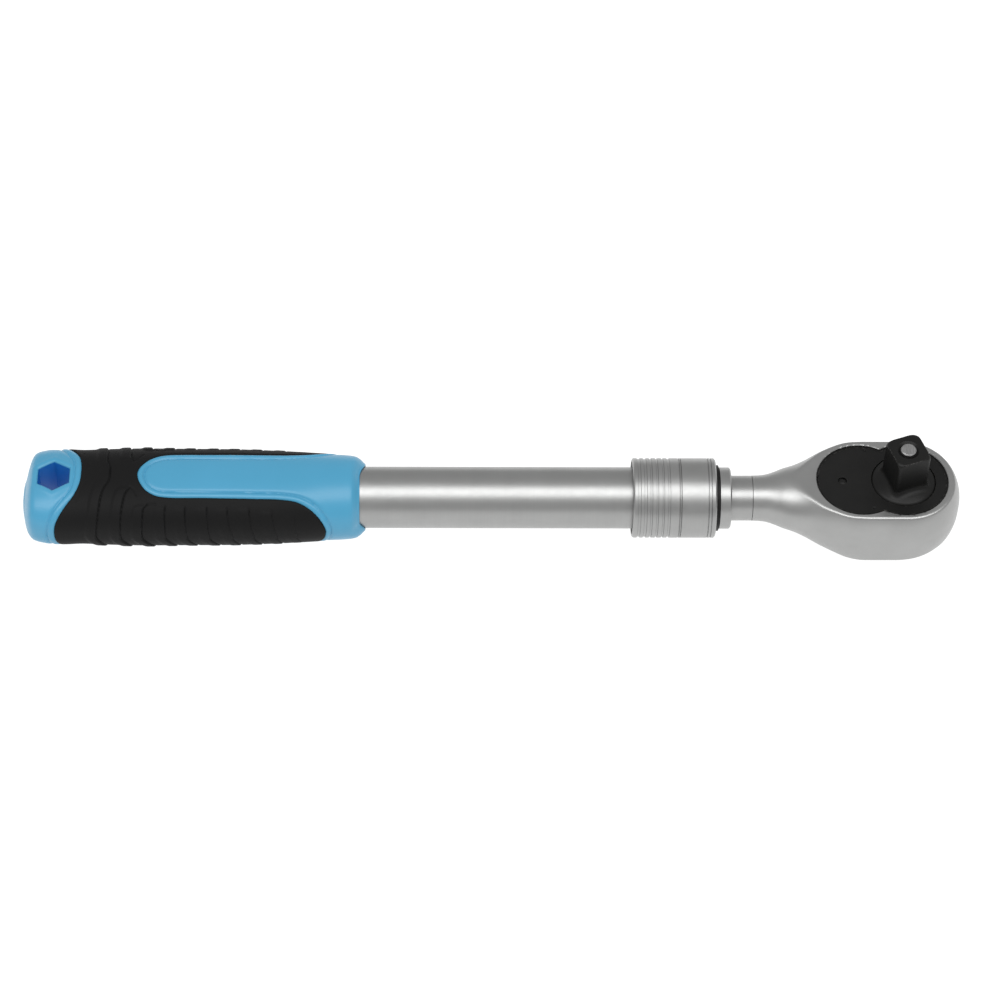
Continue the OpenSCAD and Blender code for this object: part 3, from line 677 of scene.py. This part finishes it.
def blue_height(d, t, dist, real):
    dg = np.minimum(to_line(d, t, CAP_IN), to_line(d, t, PANEL_IN))
    inner = inside(d, t, CAP_IN_P) | inside(d, t, PANEL_IN_P)
    db = np.abs(dist)
    bead = 0.40 * 4 * db * dg / np.maximum((db + dg) ** 2, 1e-6)
    h = np.where(inner, 0.16 * ease(dg / 1.6), bead)
    h = h - 0.34 * np.exp(-(dg / 0.42) ** 2)
    h = h - 0.10 * np.clip(1 - db / 0.4, 0, 1) ** 2 * (db < 5)
    hx = hexagon(real, t)
    r = 0.7
    g = np.clip(r - hx, 0, r)
    h = h - (r - np.sqrt(np.maximum(r * r - g * g, 0))) * (hx < r)
    h = h + 0.14 * np.exp(-((hx - 1.5) / 0.75) ** 2)
    return h


RIBS = [  # (line points (d, t), rib height, groove depth)
    ([(24.3, 2.9), (22.9, 4.6), (21.6, 7.6), (20.7, 10.5)], 0.10, 0.26),
    ([(32.4, -2.5), (32.3, 2.6), (30.6, 5.7), (29.6, 9.0), (29.1, 12.4), (28.2, 18.6), (27.6, 24.0), (27.4, 29)], 0.42, 0.42),
    ([(40.0, 5.7), (38.5, 7.6), (37.4, 11.8), (36.8, 16.4), (36.4, 22), (36.3, 29)], 0.40, 0.42),
    ([(46.3, 11.9), (45.1, 13.2), (44.6, 16.3), (44.2, 22), (44.1, 29)], 0.42, 0.40),
    ([(52.8, 12.4), (52.5, 16), (52.5, 20), (52.6, 29)], 0.30, 0.36),
    ([(59.9, 12.8), (59.8, 16), (59.9, 20), (60.5, 29)], 0.22, 0.36),
    ([(67.7, 13.0), (67.8, 16), (67.9, 20.8), (68.7, 29)], 0.20, 0.36),
    ([(74.9, 13.2), (75.2, 17), (75.7, 21), (77.4, 29)], 0.18, 0.36),
    ([(82.8, 13.4), (83.0, 17), (83.4, 20.5), (85.0, 29)], 0.18, 0.34),
    ([(90.8, 14.6), (91.2, 18), (91.7, 22), (93.3, 29)], 0.18, 0.30),
    ([(99.0, 17.0), (99.1, 20), (99.4, 24), (100.6, 29)], 0.14, 0.22),
]
HOOKS = [  # grooves with no rib: the arch's right leg and the first short groove's hook
    ([(40.0, 5.7), (40.6, 5.9), (41.4, 6.7), (42.4, 8.6)], 0.36),
    ([(49.4, 11.7), (48.2, 11.55), (47.0, 11.6), (46.3, 11.9)], 0.28),
]


def black_height(d, t, dist):
    db = np.abs(dist)
    h = 0.45 * np.ones_like(d)
    edge = ease((db - 0.3) / 2.2)
    for pts, rib, deep in RIBS:
        line = spline(pts, 0.5)
        order = np.argsort(line[:, 1])
        dl = np.interp(t, line[order, 1], line[order, 0])
        t0, t1 = line[:, 1].min(), line[:, 1].max()
        fade = ease((t - t0) / 1.6 + 0.35) * ease((t1 - t) / 1.6 + 0.35)
        s = d - dl
        h = h + rib * fade * edge * ease((s + 4.6) / 1.8) * (1 - ease((s + 0.42) / 0.5))
        near = to_line(d, t, line)
        h = h - deep * 0.75 * edge * np.exp(-(near / 0.30) ** 2)
    for pts, deep in HOOKS:
        near = to_line(d, t, spline(pts, 0.4))
        h = h - deep * 0.75 * edge * np.exp(-(near / 0.30) ** 2)
    return h - 0.32 * np.clip(1 - db / 0.45, 0, 1) ** 2


def build_handle():
    T = np.unique(np.round(np.concatenate([np.arange(0, 6.0, 0.40), np.arange(6.0, 13.0, 0.27), np.linspace(13.0, 26.5, 28)]), 4))
    D = np.concatenate([[REAR, 0.5, 0.62, 0.8, 1.0], np.arange(1.2, 5, 0.3), np.arange(5.0, 25, 0.27), np.arange(25.0, 113, 0.262),
                        np.arange(113.0, 120.5, 0.5), np.arange(120.7, LEN, 0.25), [LEN]])
    nt = len(T) - 1
    tc = np.concatenate([T[:-1], T[::-1][:-1], T[:-1], T[::-1][:-1]])
    sy = np.repeat([1, 1, -1, -1], nt).astype(float)
    sz = np.repeat([1, -1, -1, 1], nt).astype(float)
    nc, nd = len(tc), len(D)
    DD, TT = np.meshgrid(D, tc, indexing="ij")
    SY, SZ = np.broadcast_to(sy, DD.shape), np.broadcast_to(sz, DD.shape)
    WD = DD - warp(DD, TT, SY, SZ)
    PH = phi(WD, TT)
    HX = hexagon(DD, TT)
    HB, HK = blue_height(WD, TT, PH, DD), black_height(WD, TT, PH)
    PH = np.where(np.abs(PH) < 1e-6, 1e-6, PH)
    HX = np.where(np.abs(HX) < 1e-6, 1e-6, HX)

    cross = {}            # (field, kind, i, k) -> index in the crossing list

    def crossing(field, kind, i, k):
        return cross.setdefault((field, int(kind == "r"), int(i), int(k)), len(cross))

    base = nd * nc
    keep = {"blue": ([], []), "sunk": ([], []), "black": ([], [])}   # triangles, quads of ids; ids below base are grid ones
    walls, hexes = [], []
    i, k = np.meshgrid(np.arange(nd - 1), np.arange(nc), indexing="ij")
    k2 = (k + 1) % nc
    corner = np.stack([i * nc + k, i * nc + k2, (i + 1) * nc + k2, (i + 1) * nc + k], -1)
    pc = PH.ravel()[corner] > 0
    hc = HX.ravel()[corner] > 0
    allb, noneb, allh, noneh = pc.all(-1), ~pc.any(-1), hc.all(-1), ~hc.any(-1)
    full_blue = corner[allb & allh]
    full_black = corner[noneb]
    mixed = np.argwhere(~allb & ~noneb)
    holed = np.argwhere(allb & ~allh & ~noneh)

    def cut(cells, field, flags, on_pos, on_neg, segments):
        for ci, ck in cells:
            ids = corner[ci, ck]
            f = flags[ci, ck]
            ck2 = (ck + 1) % nc
            edge = [("c", ci, ck), ("r", ci, ck2), ("c", ci + 1, ck), ("r", ci, ck)]
            pos, neg, cr = [], [], []
            for j in range(4):
                (pos if f[j] else neg).append(ids[j])
                if f[j] != f[(j + 1) % 4]:
                    x = base + crossing(field, *edge[j])
                    pos.append(x)
                    neg.append(x)
                    cr.append((x, bool(f[j])))
            if len(cr) == 2:
                if on_pos is not None:
                    on_pos.append(pos)
                if on_neg is not None:
                    on_neg.append(neg)
                # direction: the segment as it is walked round the positive polygon
                segments.append((cr[0][0], cr[1][0]) if cr[0][1] else (cr[1][0], cr[0][0]))
            else:
                for lst, keepf in ((on_pos, True), (on_neg, False)):
                    if lst is not None:
                        lst.append(pos if keepf else neg)

    pos_polys, neg_polys, hex_polys = [], [], []
    cut(mixed, 0, pc, pos_polys, neg_polys, walls)
    cut(holed, 1, hc, hex_polys, None, hexes)
    kf, kr, ki, kk = np.array(list(cross)).T
    i2, k2 = ki + kr, np.where(kr == 1, kk, (kk + 1) % nc)
    cy_, cz_ = sy[kk], sz[kk]
    fa = np.where(kf == 0, PH[ki, kk], HX[ki, kk])
    lo, hi = np.zeros(len(kf)), np.ones(len(kf))
    for _ in range(10):
        m_ = (lo + hi) / 2
        cd_, ct_ = D[ki] + m_ * (D[i2] - D[ki]), tc[kk] + m_ * (tc[k2] - tc[kk])
        fm = np.where(kf == 0, phi(cd_ - warp(cd_, ct_, cy_, cz_), ct_), hexagon(cd_, ct_))
        same = (fm < 0) == (fa < 0)
        lo, hi = np.where(same, m_, lo), np.where(same, hi, m_)
    wd_ = cd_ - warp(cd_, ct_, cy_, cz_)
    gd, gt = np.concatenate([DD.ravel(), cd_]), np.concatenate([TT.ravel(), ct_])
    gy, gz = np.concatenate([SY.ravel(), cy_]), np.concatenate([SZ.ravel(), cz_])
    cp = np.zeros(len(cd_))
    cp = np.where(kf == 1, phi(wd_, ct_), 0.0)
    hb = np.concatenate([HB.ravel(), blue_height(wd_, ct_, cp, cd_)])
    hk = np.concatenate([HK.ravel(), black_height(wd_, ct_, cp)])
    total = len(gd)

    def skin_at(h):
        return skin(gd, gt, gy, gz, h)

    # coarse stand-in vertices for the hidden layers: grid points gathered in blocks well inside the black zone
    bi, bk = np.meshgrid(np.arange(nd) // 5, np.arange(nc) // 4, indexing="ij")
    block = (bi * 10000 + bk).ravel()
    deep = (PH.ravel() < 0)
    bad = np.unique(block[~deep])
    close = np.unique(block[(PH.ravel() > -0.45)])
    free = ~np.isin(block, np.union1d(bad, close))
    rep = np.arange(total)
    ub, first = np.unique(block[free], return_index=True)
    where = np.flatnonzero(free)
    lead = {b: where[f] for b, f in zip(ub, first)}
    rep[where] = [lead[b] for b in block[free]]
    # cells of grid points that share a lead vanish
    mids = {}

    def polys_to_faces(polys):
        by = {}
        for p in polys:
            q = [p[0]]
            for x in p[1:]:
                if x != q[-1]:
                    q.append(x)
            if len(q) > 1 and q[0] == q[-1]:
                q.pop()
            if len(set(q)) == len(q) and len(q) >= 3:
                by.setdefault(len(q), []).append(q)
        return [np.array(v) for v in by.values()]

    # ---- black overmould: outer skin, inner skin, wall
    outer = [full_black] + polys_to_faces(neg_polys)
    inner_polys = [list(rep[p]) for p in full_black] + [list(rep[p]) for p in neg_polys]
    inner = [f[:, ::-1] + total for f in polys_to_faces(inner_polys)]
    w = np.array(walls)
    side = [np.stack([w[:, 1], w[:, 0], w[:, 0] + total, w[:, 1] + total], 1)[:, ::-1]]
    V = np.concatenate([skin_at(hk), skin_at(-2.2 + 0 * hk)])
    black = compact("grip_overmould_skin", V, outer + inner + side, 42, GRIP)

    # ---- blue core: its own skin, the sunk skin under the grip, walls, rear face, hole, front face and tube bore
    outer = [full_blue] + polys_to_faces(pos_polys) + polys_to_faces(hex_polys)
    sunk = [f + total for f in polys_to_faces(inner_polys)]
    side = [np.stack([w[:, 0], w[:, 1], w[:, 1] + total, w[:, 0] + total], 1)[:, ::-1]]
    V = [skin_at(hb), skin_at(-2.28 + 0 * hb)]
    faces = outer + sunk + side
    # hanging hole: join the upper rim's segments with the lower rim's, by mirrored crossings
    hs = np.array(hexes)
    up = gz[hs[:, 0]] > 0
    pos = V[0]
    key_of = {}
    for x in np.unique(hs[~up]):
        key_of[(round(pos[x, 0], 3), round(pos[x, 1], 3))] = x
    lows = np.unique(hs[~up])
    tree = pos[lows][:, :2]

    def partner(x):
        dd = np.hypot(tree[:, 0] - pos[x, 0], tree[:, 1] - pos[x, 1])
        return lows[int(np.argmin(dd))]

    pair = {x: partner(x) for x in np.unique(hs[up])}
    hw = np.array([[a, b, pair[b], pair[a]] for a, b in hs[up]])
    # straight wall with rings part way, so its shading has something to hold
    n0 = 2 * total
    ringed, extra, idx = [], [], {}
    cuts = [0.5, 3.0, 13.0]
    uniq = np.unique(hs[up])
    for x in uniq:
        top, bot = pos[x], pos[pair[x]]
        idx[x] = n0 + len(extra)
        for zc in cuts:
            extra.append([top[0], top[1], top[2] - zc])
        for zc in cuts[-2::-1]:
            extra.append([bot[0], bot[1], bot[2] + zc])
    per = 2 * len(cuts) - 1
    chain = lambda x: [x] + [idx[x] + j for j in range(per)] + [pair[x]]
    hole = []
    for a, b in hs[up]:
        ca, cb = chain(a), chain(b)
        for j in range(per + 1):
            hole.append([cb[j], ca[j], ca[j + 1], cb[j + 1]])
    faces.append(np.array(hole)[:, ::-1])
    V.append(np.array(extra))
    # rear face: the first row drawn in to a gently domed middle
    count = sum(len(x) for x in V)
    row = V[0][:nc]
    mid = np.array([X0 + REAR, 0, AZ + float(SAG(np.array([REAR]))[0])])
    prev = np.arange(nc)
    for s_, dx in ((0.86, 0.05), (0.66, 0.10), (0.42, 0.13), (0.2, 0.14)):
        ringv = mid + (row - mid) * s_
        ringv[:, 0] = X0 + REAR - dx
        V.append(ringv)
        cur = count + np.arange(nc)
        count += nc
        faces.append(np.stack([prev, cur, np.roll(cur, -1), np.roll(prev, -1)], 1)[:, ::-1])
        prev = cur
    V.append(np.array([[X0 + REAR - 0.14, 0, mid[2]]]))
    faces.append(np.stack([prev, np.full(nc, count), np.roll(prev, -1)], 1)[:, ::-1])
    count += 1
    # front face, its chamfer and the bore for the tube
    last = (nd - 1) * nc + np.arange(nc)
    rowl = V[0][last]
    ang = np.arctan2(rowl[:, 1], rowl[:, 2] - AZ)
    prev = last
    lip = rowl[:, 0]
    for x, r in ((lip + 0.12, 11.62), (lip + 0.02, 11.36), (lip - 0.35, 11.22), (0 * lip - 299.55, 11.22), (0 * lip - 299.55, 6.0)):
        V.append(np.stack([x, r * np.sin(ang), AZ + r * np.cos(ang)], 1))
        cur = count + np.arange(nc)
        count += nc
        faces.append(np.stack([prev, np.roll(prev, -1), np.roll(cur, -1), cur], 1)[:, ::-1])
        prev = cur
    V.append(np.array([[-299.55, 0, AZ]]))
    faces.append(np.stack([prev, np.roll(prev, -1), np.full(nc, count)], 1)[:, ::-1])
    blue = compact("handle_core_shell", np.concatenate(V), faces, 42, BLUE)
    return blue, black


def compact(name, V, faces, sharp, mat):
    """Drops unused vertices, then makes the object with its faces turned outwards."""
    used = np.unique(np.concatenate([f.ravel() for f in faces if len(f)]))
    new = np.full(len(V), -1)
    new[used] = np.arange(len(used))
    ob = make_object(name, V[used], [new[f] for f in faces if len(f)], sharp)
    dress(ob, mat)
    return ob


core, grip = build_handle()
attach(core, "handle_tube")
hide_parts("handle_core")
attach(grip, "handle_tube")
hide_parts("grip_overmould")


# ---------------------------------------------------------------- stage
floor_z = -0.0400
me = bpy.data.meshes.new("floor")
me.from_pydata([(-6, -6, floor_z), (6, -6, floor_z), (6, 6, floor_z), (-6, 6, floor_z)], [], [(0, 1, 2, 3)])
floor = bpy.data.objects.new("floor", me)
bpy.context.scene.collection.objects.link(floor)
m = Mat("floor_paper")
# seen only from above, so it doesn't hide the underside
see = m.t.nodes.new("ShaderNodeMixShader")
clear = m.t.nodes.new("ShaderNodeBsdfTransparent")
side = m.t.nodes.new("ShaderNodeNewGeometry")
m.link(side.outputs["Backfacing"], see.inputs[0])
m.link(m.p.outputs[0], see.inputs[1])
m.link(clear.outputs[0], see.inputs[2])
m.link(see.outputs[0], m.out.inputs[0])
m.set(Base_Color=m.mix(m.ramp(m.noise(3, 2, 0.5), 0.3, 0.7), (0.14, 0.14, 0.14, 1), (0.15, 0.15, 0.15, 1)), Roughness=0.9, Specular_IOR_Level=0.0,
      Emission_Color=(1, 1, 1, 1), Emission_Strength=1.0)
floor.data.materials.append(m.m)

AIM = Vector((-0.14623, 0, -0.013645))


def softbox(name, elevation, azimuth, distance, sx, sy_, power, aim=AIM):
    e, a = math.radians(elevation), math.radians(azimuth)
    direction = Vector((math.sin(a) * math.cos(e), -math.cos(a) * math.cos(e), math.sin(e)))
    light = bpy.data.lights.new(name, "AREA")
    light.shape = "RECTANGLE"
    light.size, light.size_y = sx, sy_
    light.energy = power
    ob = bpy.data.objects.new(name, light)
    bpy.context.scene.collection.objects.link(ob)
    ob.location = aim + direction * distance
    side_ = Vector((1, 0, 0))
    up_ = direction.cross(side_).normalized()
    side_ = up_.cross(direction).normalized()
    ob.matrix_world = Matrix.Translation(ob.location) @ Matrix((side_, up_, direction)).transposed().to_4x4()
    return ob


softbox("key", 72, 0, 1.4, 2.6, 0.80, 20.0)

world = bpy.data.worlds.new("studio")
bpy.context.scene.world = world
world.use_nodes = True
world.node_tree.nodes["Background"].inputs["Color"].default_value = (1.0, 1.0, 1.0, 1)
world.node_tree.nodes["Background"].inputs["Strength"].default_value = 0.56
bpy.context.scene.view_settings.view_transform = "Standard"

# ---------------------------------------------------------------- camera
D_, al, ph, roll, fpx = 1300.0, math.radians(1.695), math.radians(51.552), math.radians(1.45), 3566.223
back = Vector((-math.sin(al) * math.cos(ph), -math.cos(al) * math.cos(ph), math.sin(ph)))
right0 = Vector((math.cos(al), -math.sin(al), 0))
up0 = back.cross(right0)
right = math.cos(roll) * right0 + math.sin(roll) * up0
up = -math.sin(roll) * right0 + math.cos(roll) * up0
cam_data = bpy.data.cameras.new("camera")
cam = bpy.data.objects.new("camera", cam_data)
bpy.context.scene.collection.objects.link(cam)
cam_data.sensor_width = 36
cam_data.lens = fpx / 1000 * 36
cam_data.clip_start, cam_data.clip_end = 0.05, 30
place = Vector((-146.23, 0, -13.645)) + D_ * back
cam.matrix_world = Matrix.Translation(place * MM) @ Matrix((right, up, back)).transposed().to_4x4()
bpy.context.scene.camera = cam
